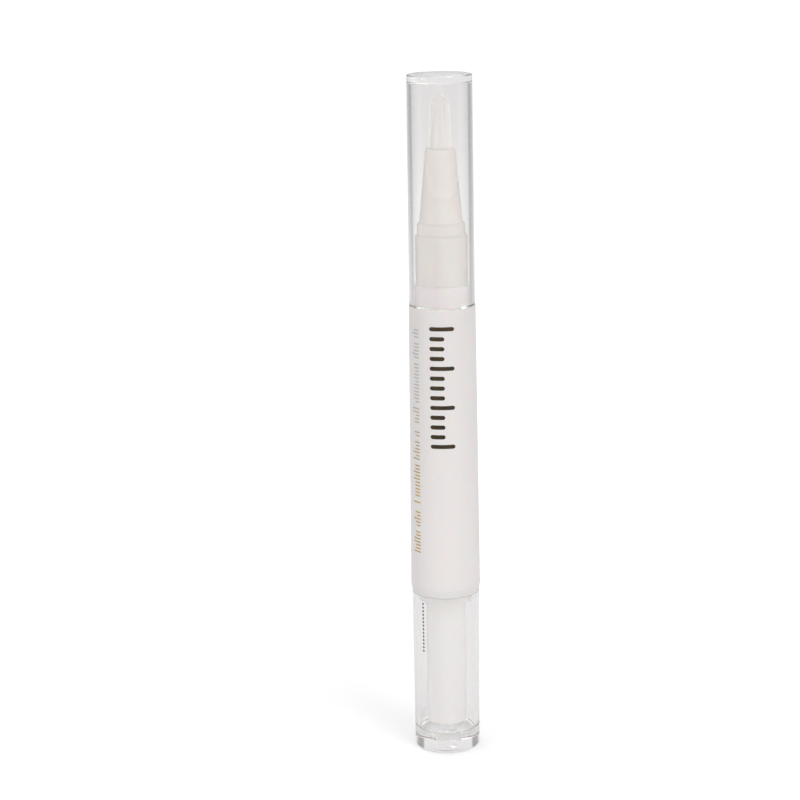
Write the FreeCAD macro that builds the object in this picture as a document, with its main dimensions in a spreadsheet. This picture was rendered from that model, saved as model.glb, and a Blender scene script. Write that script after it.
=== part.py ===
import FreeCAD, Part
import math
import os

import Sketcher

# A twist-up oil pen with a brush tip, standing on its twist knob. The axis is +Z, the origin is the
# centre of the knob's flat base, and lengths are millimetres. Turning the knob turns a screw rod in a
# fixed nut, and the rod pushes a piston that feeds oil through the nozzle into the brush.

# The sizes that can be set by themselves. Every other height and radius is worked out from them.
SIZES = {
    # Clearances: faces that slide, pieces pressed together, ends that turn on each other
    "slide_clearance": 0.05,
    "press_gap": 0.02,
    "end_gap": 0.15,
    # Screw rod: its stroke from full to empty, two flats, and the snap-in head
    "stroke": 33.0,
    "rod_radius": 2.5,
    "flat_count": 2,
    "rod_flat": 1.8,
    "rod_chamfer": 0.5,
    "rod_engagement": 2.6,
    "rod_tail_gap": 0.6,
    "rod_neck_radius": 1.6,
    "rod_head_radius": 2.3,
    "rod_head_length": 2.2,
    "rod_head_chamfer": 0.7,
    # Knob shell: a clear cup with a heavy floor
    "knob_floor": 3.7,
    "knob_wall": 1.1,
    "knob_draft": 0.14,
    "knob_step": 0.22,
    "knob_base_chamfer": 0.5,
    "knob_mouth_chamfer": 0.25,
    "knob_corner_chamfer": 0.6,
    "gate_radius": 1.5,
    "gate_depth": 0.3,
    # Drive core: the tube in the knob that turns the rod, standing on a foot with a square peg
    "core_wall": 1.3,
    "core_end_wall": 0.9,
    "core_end_chamfer": 0.8,
    "core_neck_wall": 0.7,
    "core_flange_length": 1.8,
    "core_flange_fit": 0.08,
    "foot_radius": 2.7,
    "foot_height": 0.9,
    "peg_side": 3.6,
    "peg_depth": 2.2,
    "journal_step": 0.45,
    "key_width": 1.0,
    "key_height": 0.3,
    # Click collar: two springy pawl arms round the top of the core
    "collar_length": 6.0,
    "collar_wall": 0.6,
    "arm_count": 2,
    "arm_gap": 0.2,
    "arm_thickness": 0.35,
    "arm_sweep": 112.0,
    "arm_root_sweep": 22.0,
    "pawl_sweep": 12.0,
    "pawl_height": 0.1,
    "pawl_clearance": 0.1,
    # Ratchet sleeve: bearing for the core and a ring of saw teeth, pressed into the barrel
    "tooth_count": 12,
    "tooth_depth": 0.35,
    "tooth_ramp": 25.0,
    "sleeve_wall": 0.43,
    "sleeve_inset": 0.5,
    "sleeve_chamfer": 0.3,
    "bearing_length": 3.0,
    # Thread nut: plugs the sleeve and is locked to it by lugs under its flange
    "nut_gap": 0.5,
    "nut_length": 6.0,
    "nut_flange": 1.0,
    "lug_count": 2,
    "lug_width": 1.4,
    "lug_depth": 1.2,
    "lug_relief": 0.1,
    # Piston: two wiping lips, a cupped front and a socket for the rod's head
    "piston_gap": 0.4,
    "piston_length": 4.8,
    "piston_stop_gap": 0.3,
    "lip_length": 0.9,
    "lip_relief": 0.35,
    "lip_taper": 0.2,
    "waist_step": 0.5,
    "cup_wall": 0.35,
    "cup_width": 0.5,
    "cup_depth": 0.7,
    "nose_length": 1.0,
    "socket_lip": 1.4,
    "swivel_gap": 0.1,
    # Barrel: the oil tube, tapering forward to a shoulder and a ring that the cap fits on
    "barrel_rear_wall": 1.32,
    "barrel_front_wall": 0.95,
    "barrel_rear_chamfer": 0.4,
    "shoulder_wall": 1.95,
    "shoulder_chamfer": 0.15,
    "ring_length": 4.15,
    "ring_wall": 1.05,
    "ring_chamfer": 0.3,
    # Neck plug: closes the barrel and holds the brush
    "spigot_length": 4.0,
    "spigot_chamfer": 0.4,
    "neck_step": 0.28,
    "neck_length": 9.5,
    "neck_chamfer": 0.3,
    "throat_radius": 2.2,
    # Brush holder: a cone on a flange, with a stem in the neck plug
    "stem_radius": 3.0,
    "stem_length": 7.4,
    "stem_chamfer": 0.3,
    "channel_radius": 1.8,
    "holder_flange": 2.2,
    "flange_lip": 0.45,
    "flange_chamfer": 0.35,
    "cone_length": 13.8,
    "cone_flare": 1.32,
    "cone_tip_wall": 0.46,
    "cone_tip_chamfer": 0.15,
    # Brush: bristle tuft, the feed tube in its middle and the bush that retains both
    "tuft_radius": 2.3,
    "tuft_depth": 8.8,
    "tuft_straight": 6.8,
    "tuft_reach": 9.9,
    "tuft_tip_radius": 0.8,
    "retainer_length": 2.4,
    "tube_radius": 0.7,
    "tube_wall": 0.3,
    "tube_tail": 2.5,
    "tube_reach": 3.0,
    # Cap: a clear thimble over the brush that ends flush with the barrel
    "cap_gap": 0.1,
    "cap_step": 0.05,
    "cap_draft": 0.2,
    "cap_wall": 1.0,
    "cap_roof": 1.3,
    "cap_fit": 0.07,
    "cap_lead_in": 0.25,
    "cap_mouth_chamfer": 0.15,
    "cap_top_chamfer": 0.45,
    "cap_corner_chamfer": 0.5,
    "tip_clearance": 2.5,
}

# Heights along the axis, from the base of the knob to the top of the cap.
HEIGHTS = {
    "floor": "Sizes.knob_floor",
    "core_bottom": "Heights.floor + Sizes.foot_height",
    "bore_bottom": "Heights.core_bottom + Sizes.core_end_wall",
    "rod_tail": "Heights.bore_bottom + Sizes.rod_tail_gap",
    "core_top": "Heights.rod_tail + Sizes.stroke + Sizes.rod_engagement",
    "collar_bottom": "Heights.core_top - Sizes.collar_length",
    "bearing_top": "Heights.collar_bottom - Sizes.end_gap",
    "sleeve_bottom": "Heights.bearing_top - Sizes.bearing_length",
    "flange_top": "Heights.sleeve_bottom - Sizes.end_gap",
    "flange_bottom": "Heights.flange_top - Sizes.core_flange_length",
    "barrel_rear": "Heights.sleeve_bottom - Sizes.sleeve_inset",
    "knob_mouth": "Heights.barrel_rear - Sizes.end_gap",
    "nut_bottom": "Heights.core_top + Sizes.nut_gap",
    "nut_top": "Heights.nut_bottom + Sizes.nut_length",
    "sleeve_top": "Heights.nut_top - Sizes.nut_flange",
    "piston_bottom": "Heights.nut_top + Sizes.piston_gap",
    "rod_shoulder": "Heights.piston_bottom - Sizes.end_gap",
    "socket_step": "Heights.piston_bottom + Sizes.socket_lip",
    "head_bottom": "Heights.socket_step + Sizes.swivel_gap",
    "head_top": "Heights.head_bottom + Sizes.rod_head_length",
    "socket_top": "Heights.head_top + Sizes.swivel_gap",
    "piston_front": "Heights.piston_bottom + Sizes.piston_length",
    "nose_top": "Heights.piston_front + Sizes.nose_length",
    "bore_end": "Heights.piston_front + Sizes.stroke + Sizes.piston_stop_gap",
    "shoulder": "Heights.bore_end + Sizes.shoulder_wall",
    "cap_mouth": "Heights.shoulder + Sizes.cap_gap",
    "ring_top": "Heights.shoulder + Sizes.ring_length",
    "spigot_bottom": "Heights.ring_top - Sizes.spigot_length",
    "neck_top": "Heights.ring_top + Sizes.neck_length",
    "stem_bottom": "Heights.neck_top - Sizes.stem_length",
    "stem_seat": "Heights.stem_bottom - Sizes.end_gap",
    "cone_base": "Heights.neck_top + Sizes.holder_flange",
    "cone_top": "Heights.cone_base + Sizes.cone_length",
    "tuft_bottom": "Heights.cone_top - Sizes.tuft_depth",
    "retainer_seat": "Heights.tuft_bottom - Sizes.retainer_length",
    "tube_bottom": "Heights.retainer_seat - Sizes.tube_tail",
    "tube_top": "Heights.cone_top + Sizes.tube_reach",
    "tuft_bend": "Heights.cone_top + Sizes.tuft_straight",
    "tuft_tip": "Heights.cone_top + Sizes.tuft_reach",
    "cap_ceiling": "Heights.tuft_tip + Sizes.tip_clearance",
    "cap_top": "Heights.cap_ceiling + Sizes.cap_roof",
}

# Radii from the rod outwards through the click ratchet to the barrel, and on to knob and cap.
RADII = {
    "rod_bore": "Sizes.rod_radius + Sizes.slide_clearance",
    "core_outer": "Radii.rod_bore + Sizes.core_wall",
    "core_neck": "Radii.rod_bore + Sizes.core_neck_wall",
    "journal": "Radii.core_neck + Sizes.journal_step",
    "bearing_bore": "Radii.journal + Sizes.slide_clearance",
    "collar_inner": "Radii.core_neck + Sizes.press_gap",
    "collar_outer": "Radii.core_neck + Sizes.collar_wall",
    "arm_root": "(Radii.collar_inner + Radii.collar_outer) / 2",
    "arm_inner": "Radii.collar_outer + Sizes.arm_gap",
    "arm_outer": "Radii.arm_inner + Sizes.arm_thickness",
    "pawl_tip": "Radii.arm_outer + Sizes.pawl_height",
    "tooth_crest": "Radii.pawl_tip + Sizes.pawl_clearance",
    "tooth_root": "Radii.tooth_crest + Sizes.tooth_depth",
    "sleeve_outer": "Radii.tooth_root + Sizes.sleeve_wall",
    "nut_outer": "Radii.tooth_root - Sizes.press_gap",
    "lug_outer": "Radii.sleeve_outer - Sizes.lug_relief",
    "barrel_bore": "Radii.sleeve_outer + Sizes.press_gap",
    "barrel_rear": "Radii.barrel_bore + Sizes.barrel_rear_wall",
    "barrel_front": "Radii.barrel_bore + Sizes.barrel_front_wall",
    "piston_lip": "Radii.barrel_bore - Sizes.slide_clearance",
    "piston_waist": "Radii.piston_lip - Sizes.waist_step",
    "cup_outer": "Radii.piston_lip - Sizes.cup_wall",
    "nose_base": "Radii.cup_outer - Sizes.cup_width",
    "nose_top": "Radii.nose_base - Sizes.nose_length",
    "socket_neck": "Sizes.rod_neck_radius + Sizes.swivel_gap",
    "socket": "Sizes.rod_head_radius + Sizes.swivel_gap",
    "knob_mouth": "Radii.barrel_rear - Sizes.knob_step",
    "knob_base": "Radii.knob_mouth - Sizes.knob_draft",
    "knob_bore": "Radii.knob_mouth - Sizes.knob_wall",
    "core_flange": "Radii.knob_bore - Sizes.core_flange_fit",
    "cap_mouth": "Radii.barrel_front - Sizes.cap_step",
    "cap_top": "Radii.cap_mouth - Sizes.cap_draft",
    "cap_bore": "Radii.cap_mouth - Sizes.cap_wall",
    "ring": "Radii.cap_bore - Sizes.cap_fit",
    "ring_bore": "Radii.ring - Sizes.ring_wall",
    "spigot": "Radii.ring_bore - Sizes.press_gap",
    "neck": "Radii.ring - Sizes.neck_step",
    "stem_bore": "Sizes.stem_radius + Sizes.press_gap",
    "tuft_socket": "Sizes.tuft_radius + Sizes.press_gap",
    "cone_tip": "Radii.tuft_socket + Sizes.cone_tip_wall",
    "cone_base": "Radii.cone_tip + Sizes.cone_flare",
    "holder_flange": "Radii.cone_base + Sizes.flange_lip",
    "retainer": "Radii.tuft_socket - Sizes.press_gap",
    "tube_hole": "Sizes.tube_radius + Sizes.press_gap",
    "tube_inner": "Sizes.tube_radius - Sizes.tube_wall",
}

FULL_TURN = 360.0

doc = FreeCAD.newDocument("OilPen")
sheet = doc.addObject("Spreadsheet::Sheet", "Sizes")
for row, (alias, size) in enumerate(SIZES.items(), start=1):
    sheet.set(f"A{row}", alias)
    sheet.set(f"B{row}", str(size))
    sheet.setAlias(f"B{row}", alias)
doc.recompute()

for group, formulas in {"Heights": HEIGHTS, "Radii": RADII}.items():
    derived = doc.addObject("App::VarSet", group)
    for name, formula in formulas.items():
        derived.addProperty("App::PropertyFloat", name)
        derived.setExpression(name, formula)
doc.recompute()


def value(expression):
    """Present number of an expression over the sheet."""
    return float(sheet.evalExpression(expression))


def polar(radius, angle):
    """Corner at a radius and an angle in degrees about the axis."""
    return f"({radius}) * cos({angle})", f"({radius}) * sin({angle})"


def arc_between(start, end, turn, radius):
    """The lesser arc between two points that turns left or right on the way from start to end."""
    side = 1 if turn == "left" else -1
    chord = end - start
    normal = FreeCAD.Vector(-chord.y, chord.x, 0).normalize() * side
    rise = math.sqrt(max(radius ** 2 - (chord.Length / 2) ** 2, 0))
    centre = (start + end) * 0.5 + normal * rise
    first, last = (start, end) if turn == "left" else (end, start)
    angles = [math.atan2(point.y - centre.y, point.x - centre.x) for point in (first, last)]
    if angles[1] <= angles[0]:
        angles[1] += math.tau
    circle = Part.Circle(centre, FreeCAD.Vector(0, 0, 1), radius)
    return Part.ArcOfCircle(circle, *angles)


def draw(sketch, corners):
    """Draw a closed outline. A corner is (x, y), or (x, y, turn, radius) where an arc leaves it."""
    points = [FreeCAD.Vector(value(corner[0]), value(corner[1]), 0) for corner in corners]
    starts, stops = [], []
    for index, corner in enumerate(corners):
        end = points[(index + 1) % len(points)]
        if len(corner) == 2:
            geometry = Part.LineSegment(points[index], end)
        else:
            geometry = arc_between(points[index], end, corner[2], value(corner[3]))
        sketch.addGeometry(geometry, False)
        # A sketch numbers the ends of a line or arc 1 and 2. An arc is stored anticlockwise, so one that
        # turns right is met at its far end first.
        first, last = (2, 1) if "right" in corner else (1, 2)
        starts.append((index, first))
        stops.append((index, last))
    for index, corner in enumerate(corners):
        after = (index + 1) % len(corners)
        sketch.addConstraint(Sketcher.Constraint("Coincident", *stops[index], *starts[after]))
        # The sketch's own X axis is geometry -1 and its Y axis is -2, and the first end of -1 is the origin.
        for kind, axis, expression in (("DistanceX", -2, corner[0]), ("DistanceY", -1, corner[1])):
            if expression == "0":
                sketch.addConstraint(Sketcher.Constraint("PointOnObject", *starts[index], axis))
            else:
                bind(sketch, expression, kind, -1, 1, *starts[index])
        if len(corner) == 4:
            bind(sketch, corner[3], "Radius", index)


def bind(sketch, expression, kind, *ends):
    """Add a dimension to a sketch and tie it to the sheet."""
    number = sketch.addConstraint(Sketcher.Constraint(kind, *ends, value(expression)))
    sketch.setExpression(f"Constraints[{number}]", expression)


def new_sketch(body, name, role):
    """Empty sketch on one of the body's own origin planes."""
    sketch = body.newObject("Sketcher::SketchObject", f"{body.Name}_{name}_outline")
    plane = next(item for item in body.Origin.OriginFeatures if item.Role == role)
    sketch.AttachmentSupport = [(plane, "")]
    sketch.MapMode = "FlatFace"
    return sketch


def turned(label, corners):
    """New piece turned about the axis from an outline of radius and height."""
    body = doc.addObject("PartDesign::Body", label)
    body.Label = label
    sketch = new_sketch(body, "turned", "XZ_Plane")
    draw(sketch, corners)
    feature = body.newObject("PartDesign::Revolution", f"{label}_turned")
    feature.Profile = sketch
    feature.ReferenceAxis = (sketch, ["V_Axis"])
    feature.Angle = FULL_TURN
    doc.recompute()
    return body


def extruded(body, kind, name, corners, bottom, top):
    """Pad onto a piece, or Pocket out of it, an outline across the axis from bottom to top."""
    volume = body.Shape.Volume
    sketch = new_sketch(body, name, "XY_Plane")
    sketch.setExpression("AttachmentOffset.Base.z", bottom)
    draw(sketch, corners)
    feature = body.newObject(f"PartDesign::{kind}", f"{body.Name}_{name}")
    feature.Profile = sketch
    feature.setExpression("Length", f"{top} - ({bottom})")
    feature.Reversed = kind == "Pocket"
    doc.recompute()
    grew = body.Shape.Volume > volume
    if body.Shape.Volume == volume or grew != (kind == "Pad"):
        raise RuntimeError(f"{feature.Name} went the wrong way")
    return feature


def repeated(body, feature, count):
    """Repeat a feature evenly round the axis."""
    pattern = body.newObject("PartDesign::PolarPattern", f"{feature.Name}_ring")
    pattern.Originals = [feature]
    pattern.Axis = (feature.Profile[0], ["N_Axis"])
    pattern.Angle = FULL_TURN
    pattern.setExpression("Occurrences", count)
    body.Tip = pattern
    doc.recompute()


def rectangle(left, right, half_width):
    """Corners of a rectangle from left to right, even about the X axis."""
    return [(left, f"-({half_width})"), (right, f"-({half_width})"), (right, half_width), (left, half_width)]


def double_flat(radius, flat):
    """Corners of a circle cut by two flats parallel to the X axis."""
    half_chord = f"sqrt(({radius})^2 - ({flat})^2)"
    return [(half_chord, f"-({flat})", "left", radius), (half_chord, flat),
            (f"-{half_chord}", flat, "left", radius), (f"-{half_chord}", f"-({flat})")]


def knob_shell():
    """Clear cup: heavy floor with a gate recess below and a square socket for the core's peg above."""
    body = turned("knob_shell", [
        ("0", "Sizes.gate_depth"),
        ("Sizes.gate_radius", "Sizes.gate_depth"),
        ("Sizes.gate_radius", "0"),
        ("Radii.knob_base - Sizes.knob_base_chamfer", "0"),
        ("Radii.knob_base", "Sizes.knob_base_chamfer"),
        ("Radii.knob_mouth", "Heights.knob_mouth - Sizes.knob_mouth_chamfer"),
        ("Radii.knob_mouth - Sizes.knob_mouth_chamfer", "Heights.knob_mouth"),
        ("Radii.knob_bore", "Heights.knob_mouth"),
        ("Radii.knob_bore", "Heights.floor + Sizes.knob_corner_chamfer"),
        ("Radii.knob_bore - Sizes.knob_corner_chamfer", "Heights.floor"),
        ("0", "Heights.floor"),
    ])
    half_side = "Sizes.peg_side / 2 + Sizes.press_gap"
    extruded(body, "Pocket", "peg_socket", rectangle(f"-({half_side})", half_side, half_side),
             "Heights.floor - Sizes.peg_depth - Sizes.end_gap", "Heights.floor")


def drive_core():
    """White tube: foot and square peg below, a flange that closes the knob, a journal and a keyed neck."""
    body = turned("drive_core", [
        ("0", "Heights.floor"),
        ("Sizes.foot_radius", "Heights.floor"),
        ("Sizes.foot_radius", "Heights.core_bottom"),
        ("Radii.core_outer - Sizes.core_end_chamfer", "Heights.core_bottom"),
        ("Radii.core_outer", "Heights.core_bottom + Sizes.core_end_chamfer"),
        ("Radii.core_outer", "Heights.flange_bottom"),
        ("Radii.core_flange", "Heights.flange_bottom"),
        ("Radii.core_flange", "Heights.flange_top"),
        ("Radii.journal", "Heights.flange_top"),
        ("Radii.journal", "Heights.collar_bottom"),
        ("Radii.core_neck", "Heights.collar_bottom"),
        ("Radii.core_neck", "Heights.core_top"),
        ("0", "Heights.core_top"),
    ])
    half_side = "Sizes.peg_side / 2"
    extruded(body, "Pad", "peg", rectangle(f"-({half_side})", half_side, half_side),
             "Heights.floor - Sizes.peg_depth", "Heights.floor")
    key = extruded(body, "Pad", "key", rectangle("Radii.rod_bore", "Radii.core_neck + Sizes.key_height",
                                                 "Sizes.key_width / 2"),
                   "Heights.collar_bottom", "Heights.core_top")
    repeated(body, key, "Sizes.arm_count")
    bore_flat = "Sizes.rod_flat + Sizes.slide_clearance"
    extruded(body, "Pocket", "rod_bore", double_flat("Radii.rod_bore", bore_flat),
             "Heights.bore_bottom", "Heights.core_top")


def click_collar():
    """Ring keyed to the core's neck, with curved pawl arms that trail and click over the saw teeth."""
    body = turned("click_collar", [
        ("Radii.collar_inner", "Heights.collar_bottom"),
        ("Radii.collar_outer", "Heights.collar_bottom"),
        ("Radii.collar_outer", "Heights.core_top"),
        ("Radii.collar_inner", "Heights.core_top"),
    ])
    slot = extruded(body, "Pocket", "key_slot",
                    rectangle("Radii.rod_bore", "Radii.core_neck + Sizes.key_height + Sizes.press_gap",
                              "Sizes.key_width / 2 + Sizes.press_gap"),
                    "Heights.collar_bottom", "Heights.core_top")
    repeated(body, slot, "Sizes.arm_count")
    quarter = FULL_TURN / 4
    root_end = f"{quarter} - Sizes.arm_root_sweep"
    arm_end = f"{quarter} - Sizes.arm_sweep"
    arm = extruded(body, "Pad", "arm", [
        polar("Radii.arm_root", quarter),
        (*polar("Radii.arm_outer", quarter), "right", "Radii.arm_outer"),
        polar("Radii.arm_outer", f"{arm_end} + Sizes.pawl_sweep"),
        polar("Radii.pawl_tip", arm_end),
        (*polar("Radii.arm_inner", arm_end), "left", "Radii.arm_inner"),
        polar("Radii.arm_inner", root_end),
        polar("Radii.arm_root", root_end),
    ], "Heights.collar_bottom", "Heights.core_top")
    repeated(body, arm, "Sizes.arm_count")


def ratchet_sleeve():
    """Sleeve pressed into the barrel: bearing below, saw teeth in the middle, seat for the nut above."""
    body = turned("ratchet_sleeve", [
        ("Radii.bearing_bore", "Heights.sleeve_bottom"),
        ("Radii.sleeve_outer - Sizes.sleeve_chamfer", "Heights.sleeve_bottom"),
        ("Radii.sleeve_outer", "Heights.sleeve_bottom + Sizes.sleeve_chamfer"),
        ("Radii.sleeve_outer", "Heights.sleeve_top"),
        ("Radii.tooth_root", "Heights.sleeve_top"),
        ("Radii.tooth_root", "Heights.nut_bottom"),
        ("Radii.tooth_crest", "Heights.nut_bottom"),
        ("Radii.tooth_crest", "Heights.bearing_top"),
        ("Radii.bearing_bore", "Heights.bearing_top"),
    ])
    tooth_gap = extruded(body, "Pocket", "tooth_gap", [
        polar("Radii.tooth_crest - Sizes.tooth_depth", "0"),
        polar("Radii.tooth_root", "0"),
        polar("Radii.tooth_crest", "Sizes.tooth_ramp"),
    ], "Heights.bearing_top", "Heights.nut_bottom")
    repeated(body, tooth_gap, "Sizes.tooth_count")
    half_notch = "Sizes.lug_width / 2 + Sizes.press_gap"
    notch = extruded(body, "Pocket", "lug_notch",
                     rectangle("Radii.bearing_bore", "Radii.barrel_rear", half_notch),
                     "Heights.sleeve_top - Sizes.lug_depth - Sizes.end_gap", "Heights.sleeve_top")
    repeated(body, notch, "Sizes.lug_count")


def thread_nut():
    """Fixed nut: plugs the sleeve, with lugs under its flange that take the screw's torque."""
    body = turned("thread_nut", [
        ("Radii.rod_bore", "Heights.nut_bottom"),
        ("Radii.nut_outer", "Heights.nut_bottom"),
        ("Radii.nut_outer", "Heights.sleeve_top"),
        ("Radii.sleeve_outer", "Heights.sleeve_top"),
        ("Radii.sleeve_outer", "Heights.nut_top"),
        ("Radii.rod_bore", "Heights.nut_top"),
    ])
    lug = extruded(body, "Pad", "lug",
                   rectangle("Radii.collar_outer", "Radii.lug_outer", "Sizes.lug_width / 2"),
                   "Heights.sleeve_top - Sizes.lug_depth", "Heights.sleeve_top")
    repeated(body, lug, "Sizes.lug_count")


def screw_rod():
    """Rod with two driven flats and a mushroom head that swivels in the piston."""
    body = turned("screw_rod", [
        ("0", "Heights.rod_tail"),
        ("Sizes.rod_radius - Sizes.rod_chamfer", "Heights.rod_tail"),
        ("Sizes.rod_radius", "Heights.rod_tail + Sizes.rod_chamfer"),
        ("Sizes.rod_radius", "Heights.rod_shoulder"),
        ("Sizes.rod_neck_radius", "Heights.rod_shoulder"),
        ("Sizes.rod_neck_radius", "Heights.head_bottom"),
        ("Sizes.rod_head_radius", "Heights.head_bottom"),
        ("Sizes.rod_head_radius", "Heights.head_top - Sizes.rod_head_chamfer"),
        ("Sizes.rod_head_radius - Sizes.rod_head_chamfer", "Heights.head_top"),
        ("0", "Heights.head_top"),
    ])
    reach = "2 * Sizes.rod_radius"
    flat = extruded(body, "Pocket", "flat", [
        (f"-{reach}", "Sizes.rod_flat"),
        (reach, "Sizes.rod_flat"),
        (reach, reach),
        (f"-{reach}", reach),
    ], "Heights.rod_tail", "Heights.rod_shoulder")
    repeated(body, flat, "Sizes.flat_count")


def piston():
    """Plunger with a wiping lip at each end, a cupped front and a snap socket for the rod's head."""
    turned("piston", [
        ("Radii.socket_neck", "Heights.piston_bottom"),
        ("Radii.piston_lip - Sizes.lip_taper", "Heights.piston_bottom"),
        ("Radii.piston_lip", "Heights.piston_bottom + Sizes.lip_taper"),
        ("Radii.piston_lip", "Heights.piston_bottom + Sizes.lip_length"),
        ("Radii.piston_waist", "Heights.piston_bottom + Sizes.lip_length + Sizes.lip_relief"),
        ("Radii.piston_waist", "Heights.piston_front - Sizes.lip_length - Sizes.lip_relief"),
        ("Radii.piston_lip", "Heights.piston_front - Sizes.lip_length"),
        ("Radii.piston_lip", "Heights.piston_front"),
        ("Radii.cup_outer", "Heights.piston_front - Sizes.cup_depth"),
        ("Radii.nose_base", "Heights.piston_front"),
        ("Radii.nose_top", "Heights.nose_top"),
        ("0", "Heights.nose_top"),
        ("0", "Heights.socket_top"),
        ("Radii.socket - Sizes.rod_head_chamfer", "Heights.socket_top"),
        ("Radii.socket", "Heights.socket_top - Sizes.rod_head_chamfer"),
        ("Radii.socket", "Heights.socket_step"),
        ("Radii.socket_neck", "Heights.socket_step"),
    ])


def barrel():
    """Oil tube, open behind, drawn in by a funnel to the ring that carries the cap and the neck plug."""
    turned("barrel", [
        ("Radii.barrel_bore", "Heights.barrel_rear"),
        ("Radii.barrel_rear - Sizes.barrel_rear_chamfer", "Heights.barrel_rear"),
        ("Radii.barrel_rear", "Heights.barrel_rear + Sizes.barrel_rear_chamfer"),
        ("Radii.barrel_front", "Heights.shoulder - Sizes.shoulder_chamfer"),
        ("Radii.barrel_front - Sizes.shoulder_chamfer", "Heights.shoulder"),
        ("Radii.ring", "Heights.shoulder"),
        ("Radii.ring", "Heights.ring_top - Sizes.ring_chamfer"),
        ("Radii.ring - Sizes.ring_chamfer", "Heights.ring_top"),
        ("Radii.ring_bore", "Heights.ring_top"),
        ("Radii.ring_bore", "Heights.bore_end + Radii.barrel_bore - Radii.ring_bore"),
        ("Radii.barrel_bore", "Heights.bore_end"),
    ])


def neck_plug():
    """Plug whose spigot closes the barrel and whose collar holds the brush holder's stem."""
    turned("neck_plug", [
        ("Sizes.throat_radius", "Heights.spigot_bottom"),
        ("Radii.spigot - Sizes.spigot_chamfer", "Heights.spigot_bottom"),
        ("Radii.spigot", "Heights.spigot_bottom + Sizes.spigot_chamfer"),
        ("Radii.spigot", "Heights.ring_top"),
        ("Radii.neck", "Heights.ring_top"),
        ("Radii.neck", "Heights.neck_top - Sizes.neck_chamfer"),
        ("Radii.neck - Sizes.neck_chamfer", "Heights.neck_top"),
        ("Radii.stem_bore", "Heights.neck_top"),
        ("Radii.stem_bore", "Heights.stem_seat"),
        ("Sizes.throat_radius", "Heights.stem_seat"),
    ])


def brush_holder():
    """White cone on a flange, bored to take the tuft, its retainer and the oil channel."""
    turned("brush_holder", [
        ("Sizes.channel_radius", "Heights.stem_bottom"),
        ("Sizes.stem_radius - Sizes.stem_chamfer", "Heights.stem_bottom"),
        ("Sizes.stem_radius", "Heights.stem_bottom + Sizes.stem_chamfer"),
        ("Sizes.stem_radius", "Heights.neck_top"),
        ("Radii.holder_flange", "Heights.neck_top"),
        ("Radii.holder_flange", "Heights.cone_base - Sizes.flange_chamfer"),
        ("Radii.holder_flange - Sizes.flange_chamfer", "Heights.cone_base"),
        ("Radii.cone_base", "Heights.cone_base"),
        ("Radii.cone_tip", "Heights.cone_top - Sizes.cone_tip_chamfer"),
        ("Radii.cone_tip - Sizes.cone_tip_chamfer", "Heights.cone_top"),
        ("Radii.tuft_socket", "Heights.cone_top"),
        ("Radii.tuft_socket", "Heights.retainer_seat"),
        ("Sizes.channel_radius", "Heights.retainer_seat"),
    ])


def tuft_retainer():
    """Bush on the ledge in the cone that stops the tuft and grips the feed tube."""
    turned("tuft_retainer", [
        ("Radii.tube_hole", "Heights.retainer_seat"),
        ("Radii.retainer", "Heights.retainer_seat"),
        ("Radii.retainer", "Heights.tuft_bottom"),
        ("Radii.tube_hole", "Heights.tuft_bottom"),
    ])


def feed_tube():
    """Thin tube that leads the oil from the channel into the middle of the tuft."""
    turned("feed_tube", [
        ("Radii.tube_inner", "Heights.tube_bottom"),
        ("Sizes.tube_radius", "Heights.tube_bottom"),
        ("Sizes.tube_radius", "Heights.tube_top"),
        ("Radii.tube_inner", "Heights.tube_top"),
    ])


def bristle_tuft():
    """Bundle of bristles round the feed tube, straight and then rounding to a blunt tip."""
    rise = "(Sizes.tuft_reach - Sizes.tuft_straight)"
    taper = "(Sizes.tuft_radius - Sizes.tuft_tip_radius)"
    ogive = f"({rise}^2 + {taper}^2) / (2 * {taper})"
    turned("bristle_tuft", [
        ("Radii.tube_hole", "Heights.tuft_bottom"),
        ("Sizes.tuft_radius", "Heights.tuft_bottom"),
        ("Sizes.tuft_radius", "Heights.tuft_bend", "left", ogive),
        ("Sizes.tuft_tip_radius", "Heights.tuft_tip"),
        ("0", "Heights.tuft_tip"),
        ("0", "Heights.tube_top + Sizes.press_gap"),
        ("Radii.tube_hole", "Heights.tube_top + Sizes.press_gap"),
    ])


def cap():
    """Clear thimble over the brush, drafted outside, with a straight bore and a lead-in at its mouth."""
    turned("cap", [
        ("Radii.cap_bore + Sizes.cap_lead_in", "Heights.cap_mouth"),
        ("Radii.cap_mouth - Sizes.cap_mouth_chamfer", "Heights.cap_mouth"),
        ("Radii.cap_mouth", "Heights.cap_mouth + Sizes.cap_mouth_chamfer"),
        ("Radii.cap_top", "Heights.cap_top - Sizes.cap_top_chamfer"),
        ("Radii.cap_top - Sizes.cap_top_chamfer", "Heights.cap_top"),
        ("0", "Heights.cap_top"),
        ("0", "Heights.cap_ceiling"),
        ("Radii.cap_bore - Sizes.cap_corner_chamfer", "Heights.cap_ceiling"),
        ("Radii.cap_bore", "Heights.cap_ceiling - Sizes.cap_corner_chamfer"),
        ("Radii.cap_bore", "Heights.cap_mouth + Sizes.cap_lead_in"),
    ])


for piece in (knob_shell, drive_core, click_collar, ratchet_sleeve, thread_nut, screw_rod, piston, barrel,
              neck_plug, brush_holder, tuft_retainer, feed_tube, bristle_tuft, cap):
    piece()
doc.recompute()

for item in doc.Objects:
    if "Invalid" in item.State or "Error" in item.State:
        raise RuntimeError(f"{item.Name} failed: {item.State}")
bodies = [item for item in doc.Objects if item.TypeId == "PartDesign::Body"]
for body in bodies:
    if body.Shape.isNull() or not body.Shape.isValid() or len(body.Shape.Solids) != 1:
        raise RuntimeError(f"{body.Label} is not one valid solid")

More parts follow.
